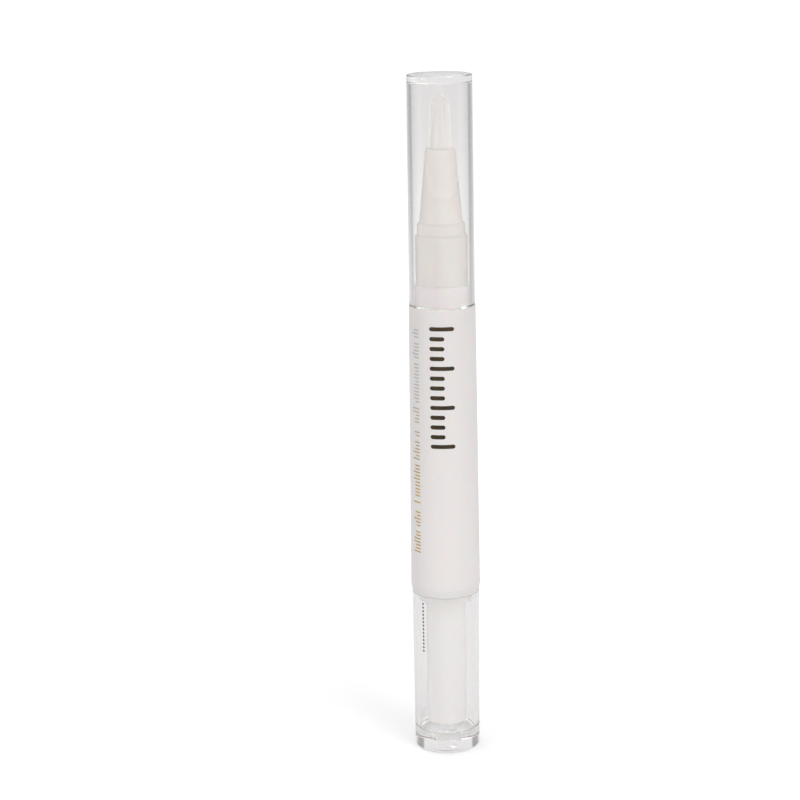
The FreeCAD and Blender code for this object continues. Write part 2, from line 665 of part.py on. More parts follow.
os.makedirs("parts", exist_ok=True)
for body in bodies:
    body.Shape.exportStep(f"parts/{body.Label}.step")
    box = body.Shape.optimalBoundingBox(False)
    print(f"{body.Label}: z {box.ZMin:.2f} to {box.ZMax:.2f}, radius {box.XMax:.2f}, "
          f"{body.Shape.Volume:.1f} mm3")
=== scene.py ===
# %% [markdown]
# # A twist-up oil pen
# The real pen is a stack of moulded plastic: a clear cap over a brush, a milky oil tube, and a clear
# knob with a white core in it. The construction is already solid, so this lesson only dresses it: it
# loads the fixed frame, swaps five plain solids for finer surfaces, adds the foil, and gives every piece
# its finish. Lengths are written in millimetres and turned into Blender's metres by one factor.

# %% Load the frame
import math

import bpy
import numpy as np
from mathutils import Matrix, Vector


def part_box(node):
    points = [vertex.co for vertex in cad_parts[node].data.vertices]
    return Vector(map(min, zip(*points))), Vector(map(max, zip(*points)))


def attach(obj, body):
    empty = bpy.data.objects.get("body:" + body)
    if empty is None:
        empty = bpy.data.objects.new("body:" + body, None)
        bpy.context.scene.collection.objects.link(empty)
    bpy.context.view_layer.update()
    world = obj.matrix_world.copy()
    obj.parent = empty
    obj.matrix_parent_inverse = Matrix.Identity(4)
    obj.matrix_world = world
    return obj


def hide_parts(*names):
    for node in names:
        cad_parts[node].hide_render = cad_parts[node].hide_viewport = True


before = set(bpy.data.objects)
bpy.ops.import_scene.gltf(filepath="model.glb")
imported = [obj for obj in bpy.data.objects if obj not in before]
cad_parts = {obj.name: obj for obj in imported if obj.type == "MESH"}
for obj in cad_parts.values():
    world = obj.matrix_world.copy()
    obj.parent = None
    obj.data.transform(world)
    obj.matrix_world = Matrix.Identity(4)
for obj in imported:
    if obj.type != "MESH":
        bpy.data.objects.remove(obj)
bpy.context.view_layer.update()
MM = 0.001
print("pieces from the frame:", sorted(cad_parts))

# %% [markdown]
# ## Measuring the frame
# Every new surface takes its place from the solid it stands for, so the pen would follow if a solid
# were made longer. All pieces here are round about the Z axis, so a bottom, a top and a radius say
# where one is. They are read once and kept in millimetres.


# %% Bottom, top and radius of a node
def extent(node):
    """Bottom, top and greatest radius of a node in millimetres."""
    low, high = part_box(node)
    return low.z / MM, high.z / MM, high.x / MM


cap_bottom, cap_top, cap_radius = extent("cap")
barrel_bottom, ring_top, barrel_radius = extent("barrel")
_, knob_top, knob_radius = extent("knob_shell")
tuft_bottom, tuft_tip, tuft_radius = extent("bristle_tuft")
rod_tail, rod_tip, rod_radius = extent("screw_rod")
_, tube_top, tube_radius = extent("feed_tube")
_, cone_top, _ = extent("brush_holder")
print(f"pen {cap_top:.1f} mm long, {2 * barrel_radius:.2f} mm across")

# %% [markdown]
# ## A skin over a grid of points
# Lathe work, a screw thread and stamped foil are all the same thing to a computer: a rectangular grid
# of points, bent into shape. One helper turns any grid into a mesh. It could add vertices one by one
# with bmesh, but whole arrays are quicker and the face pattern is then plain index arithmetic.

# %% Grid to faces
TINY = 1e-9


def grid_faces(grid, rows_close, columns_close):
    """Vertices and faces over a grid: four neighbours share a quad.

    A row whose points all fall together is a pole. It is kept as one vertex, and the quads that
    touch it become triangles, so the surface is closed there.
    """
    columns = grid.shape[1]
    pole = np.ptp(grid, axis=1).max(axis=1) < TINY
    first = np.cumsum(np.where(pole, 1, columns)) - np.where(pole, 1, columns)
    column = np.arange(columns)
    ids = first[:, None] + np.where(pole[:, None], 0, column)
    kept = ~pole[:, None] | (column == 0)
    low, high = (ids, np.roll(ids, -1, 0)) if rows_close else (ids[:-1], ids[1:])
    low_next, high_next = np.roll(low, -1, 1), np.roll(high, -1, 1)
    quads = np.stack([low, low_next, high_next, high], -1)
    quads = (quads if columns_close else quads[:, :-1]).reshape(-1, 4)
    below, above = quads[:, 0] == quads[:, 1], quads[:, 2] == quads[:, 3]
    faces = quads[~below & ~above].tolist()
    faces += quads[below & ~above][:, [0, 2, 3]].tolist()
    faces += quads[above & ~below][:, [0, 1, 2]].tolist()
    return grid[kept], faces


# %% [markdown]
# ## From faces to a piece
# Moulded plastic has smooth walls and a few crisp edges. An edge split would do that with extra vertices;
# shading the mesh smooth and marking the edges above one angle as sharp keeps it in one skin. A new piece
# then has to ride on the body that moves it, and says which solid of the frame it stands for.

# %% Mesh and piece
SHARP_ANGLE = math.radians(35)


def skin(name, vertices, faces):
    """Smooth mesh in metres from points in millimetres, with edges over the sharp angle kept crisp."""
    mesh = bpy.data.meshes.new(name)
    mesh.from_pydata(np.asarray(vertices) * MM, [], faces)
    mesh.shade_smooth()
    mesh.set_sharp_from_angle(angle=SHARP_ANGLE)
    return mesh


def add_piece(mesh, body, slot, *stands_for):
    """Put a mesh in the scene as a piece that rides on a body and stands for some nodes."""
    piece = bpy.data.objects.new(mesh.name, mesh)
    bpy.context.scene.collection.objects.link(piece)
    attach(piece, body)
    if stands_for:
        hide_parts(*stands_for)
    print(f"{piece.name}: {len(mesh.vertices)} vertices, {len(mesh.polygons)} faces on {body}")
    return piece


print(f"edges of more than {math.degrees(SHARP_ANGLE):.0f} degrees stay crisp")

# %% [markdown]
# ## Lathe outlines with rounded corners
# Moulded edges are never razor sharp, and on clear plastic the small round on an edge is what catches
# the light. A bevel modifier could add it afterwards, but a lathe outline is only a handful of corners,
# so each corner simply carries its own rounding and the arc is worked out before turning. One extra row
# of points stands just before and after each arc. Without these rows the smooth shading of an arc would
# spread over the whole long wall beside it, and a clear wall would bend light as if it were a lens.

# %% Rounded outline
ARC_STEPS = 7
SUPPORT = 0.12


def rounded(corners):
    """Outline of (radius, height) points from (radius, height, rounding) corners, and each point's corner.

    The arc of a corner starts and ends where it touches the two edges, rounding / tan(half angle)
    away, and turns about a centre on the bisector, rounding / sin(half angle) away. Its points swing
    from one touching point to the other at an even angle. The support points lie a little further out
    along both edges, by a third of the free edge at most. A corner without rounding stays a point.
    """
    corners = np.asarray(corners, float)
    here, rounding = corners[:, :2], corners[:, 2]
    back, ahead = np.roll(here, 1, 0) - here, np.roll(here, -1, 0) - here
    length = np.linalg.norm(ahead, axis=1, keepdims=True)
    back, ahead = back / np.roll(length, 1, 0), ahead / length
    half = np.arccos(np.clip((back * ahead).sum(1), -1, 1)) / 2
    bisector = (back + ahead) / np.maximum(np.linalg.norm(back + ahead, axis=1, keepdims=True), TINY)
    centre = here + bisector * (rounding / np.sin(half))[:, None]
    touch = (rounding / np.tan(half))[:, None]
    start, end = here + back * touch - centre, here + ahead * touch - centre
    sweep = np.where(rounding > 0, math.pi - 2 * half, 1)[:, None, None]
    share = np.linspace(0, 1, ARC_STEPS)[:, None]
    swing = np.sin((1 - share) * sweep) * start[:, None] + np.sin(share * sweep) * end[:, None]
    guard = np.minimum((length - touch - np.roll(touch, -1, 0)) / 3, SUPPORT)
    lead, trail = here + back * (touch + np.roll(guard, 1, 0)), here + ahead * (touch + guard)
    points = np.concatenate([lead[:, None], centre[:, None] + swing / np.sin(sweep), trail[:, None]], 1)
    used = (rounding[:, None] > 0) | (np.arange(ARC_STEPS + 2) == 1)
    return points[used], np.nonzero(used)[0]


sample, _ = rounded([(0, 0, 0), (5, 0, 1), (5, 5, 0)])
print("three corners, one of them rounded, give", len(sample), "points")

# %% [markdown]
# ## Turning an outline
# A surface of revolution carries the outline round the axis. The screw modifier does that too, but one inner
# detail isn't round: the socket in the knob's floor is square, so that the core can't slip in it. A corner
# may therefore be marked square, and its row is pushed out to the sides of a square of that half width.

# %% Lathe
SEGMENTS = 160
ROUND, SQUARE = 0, 1
PLAIN_CORNER = (0, 0, 0, ROUND)


def lathe(name, corners):
    """Outline carried round the axis: (reach cos t, reach sin t, height) for t over a full turn.

    A round row's reach is its radius. A square row's reach is radius / max(|cos t|, |sin t|), which
    is the way out to a square's side. A corner may leave out its rounding and its kind, which are then
    those of a plain corner. The outline runs up the outside, so faces point outwards.
    """
    corners = [(*corner, *PLAIN_CORNER[len(corner):]) for corner in corners]
    shape = np.array(corners, float)[:, 3]
    outline, corner = rounded(corners)
    turn = np.linspace(0, 2 * math.pi, SEGMENTS, endpoint=False)
    square = 1 / np.maximum(abs(np.cos(turn)), abs(np.sin(turn)))
    reach = outline[:, :1] * np.where(shape[corner, None] == SQUARE, square, 1)
    height = np.broadcast_to(outline[:, 1:], reach.shape)
    grid = np.stack([reach * np.cos(turn), reach * np.sin(turn), height], -1)
    is_ring = outline[0, 0] > 0
    return skin(name, *grid_faces(grid, rows_close=is_ring, columns_close=True))


print("a turn of the lathe has", SEGMENTS, "steps")

# %% [markdown]
# ## The cap
# The cap is a clear thimble, a little narrower at the top so that it leaves its mould. A single sheet
# would look like a soap bubble: light has to bend at the outside and again at the bore, so the outline
# runs along both and the wall has its true thickness. The solids keep a little air between cap and tube,
# and the finer surface closes most of it, as a pushed-on cap does.

# %% Clear cap
CAP_WALL = 1.0
CAP_DRAFT = 0.2
CAP_ROOF = 1.3
CAP_LEAD_IN = 0.25
CAP_SEAM = 0.07

cap_bore = cap_radius - CAP_WALL
cap_ceiling = cap_top - CAP_ROOF
cap_mouth = cap_bottom - CAP_SEAM
clear_cap = add_piece(lathe("clear_cap", [
    (0, cap_ceiling),
    (cap_bore, cap_ceiling, 0.2),
    (cap_bore, cap_mouth + CAP_LEAD_IN, 0.2),
    (cap_bore + CAP_LEAD_IN, cap_mouth, 0.06),
    (cap_radius, cap_mouth, 0.05),
    (cap_radius - CAP_DRAFT, cap_top, 0.3),
    (0, cap_top),
]), "cap", "clear_plastic", "cap")

# %% [markdown]
# ## The knob
# The knob is a clear cup with a heavy floor. Seen from the side its floor works like a lens, which is
# why the real one shows dark spots at its lower corners. The square socket and the small gate recess
# under the base are part of the same outline. Its mouth, too, comes a hair closer to the tube.

# %% Clear knob
KNOB_WALL = 1.1
KNOB_DRAFT = 0.14
KNOB_FLOOR = 3.7
SOCKET_HALF = 1.82
SOCKET_DEPTH = 2.35
SOCKET_RIM = 2.7
GATE_RADIUS = 1.5
GATE_DEPTH = 0.15
GATE_SLOPE = 0.7
KNOB_SEAM = 0.14

knob_bore = knob_radius - KNOB_WALL
knob_mouth = knob_top + KNOB_SEAM
clear_knob = add_piece(lathe("clear_knob", [
    (0, GATE_DEPTH),
    (GATE_RADIUS - GATE_SLOPE, GATE_DEPTH, 0.2),
    (GATE_RADIUS, 0, 0.1),
    (knob_radius - KNOB_DRAFT, 0, 0.55),
    (knob_radius, knob_mouth, 0.03),
    (knob_bore, knob_mouth, 0.03),
    (knob_bore, KNOB_FLOOR, 0.7),
    (SOCKET_RIM, KNOB_FLOOR),
    (SOCKET_HALF, KNOB_FLOOR, 0, SQUARE),
    (SOCKET_HALF, KNOB_FLOOR - SOCKET_DEPTH, 0, SQUARE),
    (0, KNOB_FLOOR - SOCKET_DEPTH),
]), "knob", "clear_plastic", "knob_shell")

# %% [markdown]
# ## The oil tube
# The milky tube widens slightly towards the knob, tapers in at its rear end to meet it, and at the front
# steps in to the ring that carries the cap. It is open behind and drawn in by a funnel in front, so its
# outline is a closed ring and the lathe joins its last row to its first. The lathe has more steps than the
# solid's mesh, so its widest row is set in by a hair and stays inside the solid's box.

# %% Frosted barrel
BARREL_BORE = 5.4
BARREL_FRONT = 6.35
SHOULDER = 88.65
RING_RADIUS = 5.23
RING_BORE = 4.18
BORE_END = 86.7
REAR_TAPER = 1.5
REAR_RADIUS = 6.47
INSET = 0.008

rear_edge = barrel_bottom + REAR_TAPER
rear_widest = barrel_radius - INSET
frosted_barrel = add_piece(lathe("frosted_barrel", [
    (BARREL_BORE, barrel_bottom, 0.15),
    (REAR_RADIUS, barrel_bottom, 0.04),
    (rear_widest, rear_edge, 0.8),
    (BARREL_FRONT, SHOULDER, 0.15),
    (RING_RADIUS, SHOULDER, 0.1),
    (RING_RADIUS, ring_top, 0.3),
    (RING_BORE, ring_top, 0.1),
    (RING_BORE, BORE_END + BARREL_BORE - RING_BORE, 0.2),
    (BARREL_BORE, BORE_END, 0.3),
]), "barrel", "frosted_plastic", "barrel")

# %% [markdown]
# ## The screw rod
# The rod inside has a three-start thread cut away on two sides by the flats that drive it. A thread is a
# good example of a surface that needs no modelling at all: its radius depends on the angle and the
# height together, so one formula over the whole grid gives every turn.

# %% Threaded rod
THREAD_STARTS = 3
THREAD_LEAD = 3.0
THREAD_DEPTH = 0.35
THREAD_FADE = 1.2
FLANK_SLOPE = 2.2
ROD_FLAT = 1.8
ROD_CHAMFER = 0.5
ROD_SHOULDER = 48.45
ROD_NECK = 1.6
ROD_HEAD = 2.3
HEAD_BOTTOM = 50.1
HEAD_CHAMFER = 0.7
THREAD_ROWS = 330
THREAD_SEGMENTS = 96


def thread_grid():
    """Rod as a grid: radius = rod radius - depth * wave, then cut off at the flats.

    The phase is starts * (turn / full turn - height / lead), so the thread climbs one lead per turn. The
    wave is a triangle of the phase, made steeper about its middle and clipped to a trapezoid, and it
    fades out near both ends. A flat limits the reach to flat / |sin turn|. Tail and head are rows of
    (radius, height) below and above the thread.
    """
    turn = np.linspace(0, 2 * math.pi, THREAD_SEGMENTS, endpoint=False)
    height = np.linspace(rod_tail + ROD_CHAMFER, ROD_SHOULDER, THREAD_ROWS)[:, None]
    phase = THREAD_STARTS * (turn / (2 * math.pi) - height / THREAD_LEAD)
    triangle = abs(2 * (phase % 1) - 1)
    wave = np.clip(FLANK_SLOPE * (triangle - 0.5) + 0.5, 0, 1)
    from_end = np.minimum(height - height[0], height[-1] - height)
    thread = rod_radius - THREAD_DEPTH * wave * np.clip(from_end / THREAD_FADE, 0, 1)
    flats = ROD_FLAT / np.maximum(abs(np.sin(turn)), TINY)
    tail = np.array([(0, rod_tail), (rod_radius - ROD_CHAMFER, rod_tail)])
    head = np.array([(ROD_NECK, ROD_SHOULDER), (ROD_NECK, HEAD_BOTTOM), (ROD_HEAD, HEAD_BOTTOM),
                     (ROD_HEAD, rod_tip - HEAD_CHAMFER), (ROD_HEAD - HEAD_CHAMFER, rod_tip), (0, rod_tip)])
    round_head = np.broadcast_to(head[:, :1], (len(head), len(turn)))
    reach = np.vstack([np.minimum(tail[:, :1], flats), np.minimum(thread, flats), round_head])
    levels = np.concatenate([tail[:, 1], height[:, 0], head[:, 1]])
    levels = np.broadcast_to(levels[:, None], reach.shape)
    return np.stack([reach * np.cos(turn), reach * np.sin(turn), levels], -1)


rod_mesh = skin("threaded_rod", *grid_faces(thread_grid(), rows_close=False, columns_close=True))
threaded_rod = add_piece(rod_mesh, "rod", "tough_plastic", "screw_rod")

# %% [markdown]
# ## The bristles
# A brush that is one smooth lump looks like a crayon, so the tuft is made of single nylon filaments.
# Particle hair would do it, but it isn't part of a mesh and would be lost in an export. First come the two
# ends of every filament: the roots lie on a sunflower spiral, which fills a disc evenly, and the tips end
# on the rounded outline of the trim, some a little short of it.

# %% Filament ends
FILAMENTS = 620
FILAMENT_RADIUS = 0.085
TRIM_RISE = 3.1
TRIM_RADIUS = 0.8
TRIM_SCATTER = 0.5
GOLDEN_ANGLE = math.pi * (3 - math.sqrt(5))
RANDOM_SEED = 11

dice = np.random.default_rng(RANDOM_SEED)
number = np.arange(FILAMENTS)
spread = np.sqrt((number + 0.5) / FILAMENTS)
inner, outer = tube_radius + FILAMENT_RADIUS, tuft_radius - FILAMENT_RADIUS
root = np.sqrt(inner ** 2 + (outer ** 2 - inner ** 2) * spread ** 2)
tip = outer * spread
bearing = number * GOLDEN_ANGLE

trim_drop = tuft_radius - TRIM_RADIUS
trim_arc = (TRIM_RISE ** 2 + trim_drop ** 2) / (2 * trim_drop)
inset = trim_arc - np.minimum(tuft_radius - tip, trim_drop)
tip_height = tuft_tip - TRIM_RISE + np.sqrt(trim_arc ** 2 - inset ** 2)
tip_height = np.minimum(tip_height, tuft_tip) - dice.uniform(0, TRIM_SCATTER, FILAMENTS)
print(f"{FILAMENTS} filaments from {tuft_bottom:.1f} to {tip_height.max():.1f} mm")

# %% [markdown]
# ## Filaments as thin tubes
# A curve with a bevel would make rounder filaments at many times the faces. Five sides are enough for a
# hair a sixth of a millimetre thick, so each filament is a few rings of five points, closed at both ends.
# All of them have the same face pattern, so it is worked out once and shifted along for each filament.

# %% Filament tubes
FILAMENT_RINGS = 7
FILAMENT_SIDES = 5
LEAN_MARGIN = 2.0
TIP_TAPER = 0.2
TIP_THINNING = 0.35
SWAY = 0.02


def filament_mesh(name):
    """All filaments as one mesh: ring k of a filament is a small circle about a point of its path.

    The path goes straight up inside the cone and leans from its root radius to its tip radius by a
    smooth step of the height, which starts just below the cone's top and ends just above the feed tube.
    The tuft draws in above the cone, its outer filaments most. Each filament sways a little sideways,
    and the circle shrinks towards the tip.
    """
    share = np.linspace(0, 1, FILAMENT_RINGS)
    height = tuft_bottom + share * (tip_height - tuft_bottom)[:, None]
    lean = np.clip((height - cone_top + LEAN_MARGIN) / (tube_top - cone_top + 2 * LEAN_MARGIN), 0, 1)
    lean = lean * lean * (3 - 2 * lean)
    rise = np.clip((height - cone_top) / (tuft_tip - cone_top), 0, 1)
    distance = (root[:, None] + (tip - root)[:, None] * lean) * (1 - TIP_TAPER * spread[:, None] * rise)
    side = bearing[:, None] + dice.normal(0, SWAY, (FILAMENTS, 1)) * share
    path = np.stack([distance * np.cos(side), distance * np.sin(side), height], -1)
    around = np.arange(FILAMENT_SIDES) * 2 * math.pi / FILAMENT_SIDES
    circle = np.stack([np.cos(around), np.sin(around), np.zeros(FILAMENT_SIDES)], -1)
    thickness = FILAMENT_RADIUS * (1 - TIP_THINNING * share ** 3)
    rings = path[:, :, None] + thickness[:, None, None] * circle
    ends = np.stack([path[:, 0], path[:, -1] + [0, 0, FILAMENT_RADIUS / 2]], 1)
    vertices = np.concatenate([rings.reshape(FILAMENTS, -1, 3), ends], 1)
    ring = np.arange(FILAMENT_RINGS - 1)[:, None] * FILAMENT_SIDES
    here, after = np.arange(FILAMENT_SIDES), np.roll(np.arange(FILAMENT_SIDES), -1)
    low, low_next = ring + here, ring + after
    quads = np.stack([low, low_next, low_next + FILAMENT_SIDES, low + FILAMENT_SIDES], -1).reshape(-1, 4)
    foot = FILAMENT_RINGS * FILAMENT_SIDES
    top_ring = foot - FILAMENT_SIDES
    bottoms = np.stack([after, here, np.full_like(here, foot)], -1)
    tops = np.stack([top_ring + here, top_ring + after, np.full_like(here, foot + 1)], -1)
    step = (np.arange(FILAMENTS) * vertices.shape[1])[:, None, None]
    faces = (step + quads).reshape(-1, 4).tolist()
    faces += (step + np.concatenate([bottoms, tops])).reshape(-1, 3).tolist()
    return skin(name, vertices.reshape(-1, 3), faces)


bristles = add_piece(filament_mesh("bristles"), "barrel", "bristle_nylon", "bristle_tuft")

# %% [markdown]
# ## Stamped foil
# The tube carries dark foil on its front and a fine gilt line down its left side, and the knob a short
# dark line. Here they are a plain level scale, fine bars and a row of dots: strokes with round ends, a
# hair proud, bent round the plastic. An image would need a file, and a mesh keeps its edge at any distance.

# %% Foil strokes
FOIL_LIFT = 0.02
FOIL_FLATNESS = 6
STROKE_STATIONS = 15
STROKE_ACROSS = 7


def tube_radius_at(height):
    """Outer radius of the barrel: it falls evenly from the rear taper to the shoulder."""
    share = (height - rear_edge) / (SHOULDER - rear_edge)
    return rear_widest + (BARREL_FRONT - rear_widest) * share


def knob_radius_at(height):
    """Outer radius of the knob: it grows evenly from its base to its mouth."""
    return knob_radius - KNOB_DRAFT * (1 - height / knob_top)


def stroke_grid(radius_at, angle, height, length, width):
    """Stroke round a piece: s runs along it and t across, both from -1 to 1.

    Stations along the stroke crowd towards its ends. Over the last half width of each end the stroke
    narrows as a circle does, so its ends are round. The foil stands proud inside its border and meets
    the plastic there. angle is where the stroke's middle lies, in radians, and length is measured along
    the surface.
    """
    along, across = np.linspace(-1, 1, STROKE_STATIONS), np.linspace(-1, 1, STROKE_ACROSS)
    s, t = np.meshgrid(np.sin(along * math.pi / 2), across, indexing="ij")
    end = np.clip((abs(s) * length / 2 - (length - width) / 2) / (width / 2), 0, 1)
    z = height + t * width / 2 * np.sqrt(1 - end ** 2)
    lift = FOIL_LIFT * (1 - np.maximum(abs(t), end) ** FOIL_FLATNESS)
    reach = radius_at(z) + lift
    turn = angle + s * length / 2 / reach
    return np.stack([reach * np.cos(turn), reach * np.sin(turn), z], -1)


def stroke_mesh(name, radius_at, strokes):
    """All strokes of one foil as a mesh: each stroke's faces count on from the vertices before it."""
    parts = [grid_faces(stroke_grid(radius_at, *stroke), rows_close=False, columns_close=False)
             for stroke in strokes]
    starts = np.cumsum([0] + [len(vertices) for vertices, _ in parts])
    faces = [[start + corner for corner in face]
             for start, (_, part) in zip(starts, parts) for face in part]
    return skin(name, np.concatenate([vertices for vertices, _ in parts]), faces)


print(f"foil stands {FOIL_LIFT} mm proud")

# %% [markdown]
# ## Level scale
# Dark foil runs down the upper half of the tube's front. Here it is a level scale like that of a syringe. An
# array modifier could repeat one mark, but the marks differ in length: every fourth is long, so that the
# eye can count. All of them start at one line, so a mark's middle depends on its length.

# %% Level scale
FRONT = -math.pi / 2
SCALE_TOP, SCALE_BOTTOM, SCALE_MARKS = 85.1, 62.4, 13
LONG_EVERY = 4
LONG_MARK, SHORT_MARK, MARK_WIDTH = 4.8, 2.9, 0.82
SCALE_START = -2.7

mark_heights = np.linspace(SCALE_TOP, SCALE_BOTTOM, SCALE_MARKS)
mark_lengths = np.where(np.arange(SCALE_MARKS) % LONG_EVERY == 0, LONG_MARK, SHORT_MARK)
marks = [(FRONT + (SCALE_START + length / 2) / tube_radius_at(height), height, length, MARK_WIDTH)
         for height, length in zip(mark_heights, mark_lengths)]
foil_scale = add_piece(stroke_mesh("foil_scale", tube_radius_at, marks), "barrel", "frosted_plastic")

# %% [markdown]
# ## Fine bars
# A fine gilt line runs down the tube's left side. From arm's length it is a rhythm of short and long strokes
# with small gaps, so it is made of bars of random length, and a length of nothing makes a gap. They use the
# scale's stroke function and only lie closer together.

# %% Fine bars down the left side
BAR_TOP, BAR_BOTTOM, BAR_STEP, BAR_WIDTH = 84.8, 41.0, 0.66, 0.26
BAR_EDGE = math.radians(-46)
BAR_LENGTHS = np.array([0.0, 1.1, 1.5, 1.5, 1.5, 2.1])

bar_heights = np.arange(BAR_BOTTOM, BAR_TOP, BAR_STEP)
bar_lengths = dice.choice(BAR_LENGTHS, len(bar_heights))
bars = [(FRONT + BAR_EDGE - length / 2 / tube_radius_at(height), height, length, BAR_WIDTH)
        for height, length in zip(bar_heights, bar_lengths) if length]
foil_bars = add_piece(stroke_mesh("foil_bars", tube_radius_at, bars), "barrel", "frosted_plastic")

# %% [markdown]
# ## Dots on the knob
# A short dark line lies on the knob's left side. It is a row of small dots here, each a stroke that is hardly
# longer than wide. They are foil as well, but ride on the knob, so they show how far it has turned.

# %% Dots on the knob
KNOB_DOT_TOP, KNOB_DOT_BOTTOM, KNOB_DOT_STEP = 31.2, 20.9, 0.74
KNOB_DOT_BEARING = math.radians(-44.5)
KNOB_DOT_LENGTH, KNOB_DOT_WIDTH = 0.46, 0.38

dots = [(FRONT + KNOB_DOT_BEARING, height, KNOB_DOT_LENGTH, KNOB_DOT_WIDTH)
        for height in np.arange(KNOB_DOT_BOTTOM, KNOB_DOT_TOP, KNOB_DOT_STEP)]
knob_dots = add_piece(stroke_mesh("knob_dots", knob_radius_at, dots), "knob", "clear_plastic")

# %% [markdown]
# ## Two node helpers
# Node trees get long when every number needs four lines. Two small functions add a Math node and a Map
# Range node and give back their output, so the trees below read almost like formulas.


# %% Math and ramp nodes
def arithmetic(tree, operation, first, second=0.0):
    """Math node of a tree; each input is a plain number or the output of another node."""
    node = tree.nodes.new("ShaderNodeMath")
    node.operation = operation
    for socket, value in zip(node.inputs, (first, second)):
        if isinstance(value, bpy.types.NodeSocket):
            tree.links.new(value, socket)
        else:
            socket.default_value = value
    return node.outputs["Value"]


def ramp(tree, value, low, high, bottom=0.0, top=1.0):
    """Map Range node: bottom where the value is low or less, top where it is high or more."""
    node = tree.nodes.new("ShaderNodeMapRange")
    for name, number in (("From Min", low), ("From Max", high), ("To Min", bottom), ("To Max", top)):
        node.inputs[name].default_value = number
    tree.links.new(value, node.inputs["Value"])
    return node.outputs["Result"]


# %% [markdown]
# ## Shared finish: moulded plastic
# Injection-moulded plastic looks smooth but never perfectly even: the colour drifts a little along the
# flow and the gloss varies where the mould was polished by hand. All plastics here need that, and stamped
# foil shows the same mottling at a finer scale, so it is one node group that mixes two close tones, and
# gives a roughness and a faint height, all from noise on the object's own coordinates.

# %% Moulded finish group
FLOW_STRETCH = (1.0, 1.0, 0.25)
GROUP_SOCKETS = (
    ("Tone", "INPUT", "NodeSocketColor"),
    ("Drift Tone", "INPUT", "NodeSocketColor"),
    ("Flow Scale", "INPUT", "NodeSocketFloat"),
    ("Grain Scale", "INPUT", "NodeSocketFloat"),
    ("Smooth", "INPUT", "NodeSocketFloat"),
    ("Rough", "INPUT", "NodeSocketFloat"),
    ("Color", "OUTPUT", "NodeSocketColor"),
    ("Roughness", "OUTPUT", "NodeSocketFloat"),
    ("Height", "OUTPUT", "NodeSocketFloat"),
)


def moulded_group():
    """Noise drives a mix of two tones, a roughness between two levels, and a fine grain height.

    The noise of tones and gloss is drawn out along the pen's length, as the plastic flowed.
    """
    group = bpy.data.node_groups.new("moulded_finish", "ShaderNodeTree")
    for name, direction, kind in GROUP_SOCKETS:
        group.interface.new_socket(name=name, in_out=direction, socket_type=kind)
    new, link = group.nodes.new, group.links.new
    given, made = new("NodeGroupInput"), new("NodeGroupOutput")
    place = new("ShaderNodeTexCoord")
    flow, grain = new("ShaderNodeTexNoise"), new("ShaderNodeTexNoise")
    tone, gloss = new("ShaderNodeMix"), new("ShaderNodeMapRange")
    tone.data_type = "RGBA"
    stretch = new("ShaderNodeMapping")
    stretch.inputs["Scale"].default_value = FLOW_STRETCH
    link(place.outputs["Object"], stretch.inputs["Vector"])
    link(stretch.outputs["Vector"], flow.inputs["Vector"])
    link(place.outputs["Object"], grain.inputs["Vector"])
    link(given.outputs["Flow Scale"], flow.inputs["Scale"])
    link(given.outputs["Grain Scale"], grain.inputs["Scale"])
    link(flow.outputs["Fac"], tone.inputs["Factor"])
    link(given.outputs["Tone"], tone.inputs["A"])
    link(given.outputs["Drift Tone"], tone.inputs["B"])
    link(flow.outputs["Fac"], gloss.inputs["Value"])
    link(given.outputs["Smooth"], gloss.inputs["To Min"])
    link(given.outputs["Rough"], gloss.inputs["To Max"])
    link(tone.outputs["Result"], made.inputs["Color"])
    link(gloss.outputs["Result"], made.inputs["Roughness"])
    link(grain.outputs["Fac"], made.inputs["Height"])
    return group


moulded = moulded_group()
print("group", moulded.name, "with", len(moulded.nodes), "nodes")

# %% [markdown]
# ## The plastics
# All plastics are a Principled BSDF fed by the group. They differ in tone, gloss and in how much light
# goes through: the cap and knob are clear, the tube is frosted, the core is white, and inside are a tough
# kind that wears well and a soft one that seals. What is the same all over, such as the index of
# refraction, is set on the shader itself.

# %% Plastic materials
FLOW_SCALE, GRAIN_SCALE = 60.0, 4000.0
GRAIN_HEIGHT = 0.02


def plastic(name, tone, drift, smooth, rough, bump=0.0, flow=FLOW_SCALE, grain=GRAIN_SCALE, **shader):
    """Material of a moulded plastic: tones and roughness drift from the first value to the second.

    bump is the strength of the fine grain. shader holds plain settings of the Principled BSDF's sockets,
    with an underscore where the socket's name has a space.
    """
    material = bpy.data.materials.new(name)
    material.use_nodes = True
    nodes, links = material.node_tree.nodes, material.node_tree.links
    surface = nodes["Principled BSDF"]
    finish = nodes.new("ShaderNodeGroup")
    finish.node_tree = moulded
    for socket, value in (("Tone", (*tone, 1)), ("Drift Tone", (*drift, 1)), ("Smooth", smooth),
                          ("Rough", rough), ("Flow Scale", flow), ("Grain Scale", grain)):
        finish.inputs[socket].default_value = value
    links.new(finish.outputs["Color"], surface.inputs["Base Color"])
    links.new(finish.outputs["Roughness"], surface.inputs["Roughness"])
    if bump:
        relief = nodes.new("ShaderNodeBump")
        relief.inputs["Strength"].default_value = bump
        relief.inputs["Distance"].default_value = GRAIN_HEIGHT * MM
        links.new(finish.outputs["Height"], relief.inputs["Height"])
        links.new(relief.outputs["Normal"], surface.inputs["Normal"])
    for setting, value in shader.items():
        surface.inputs[setting.replace("_", " ")].default_value = value
    print("material", name)
    return material


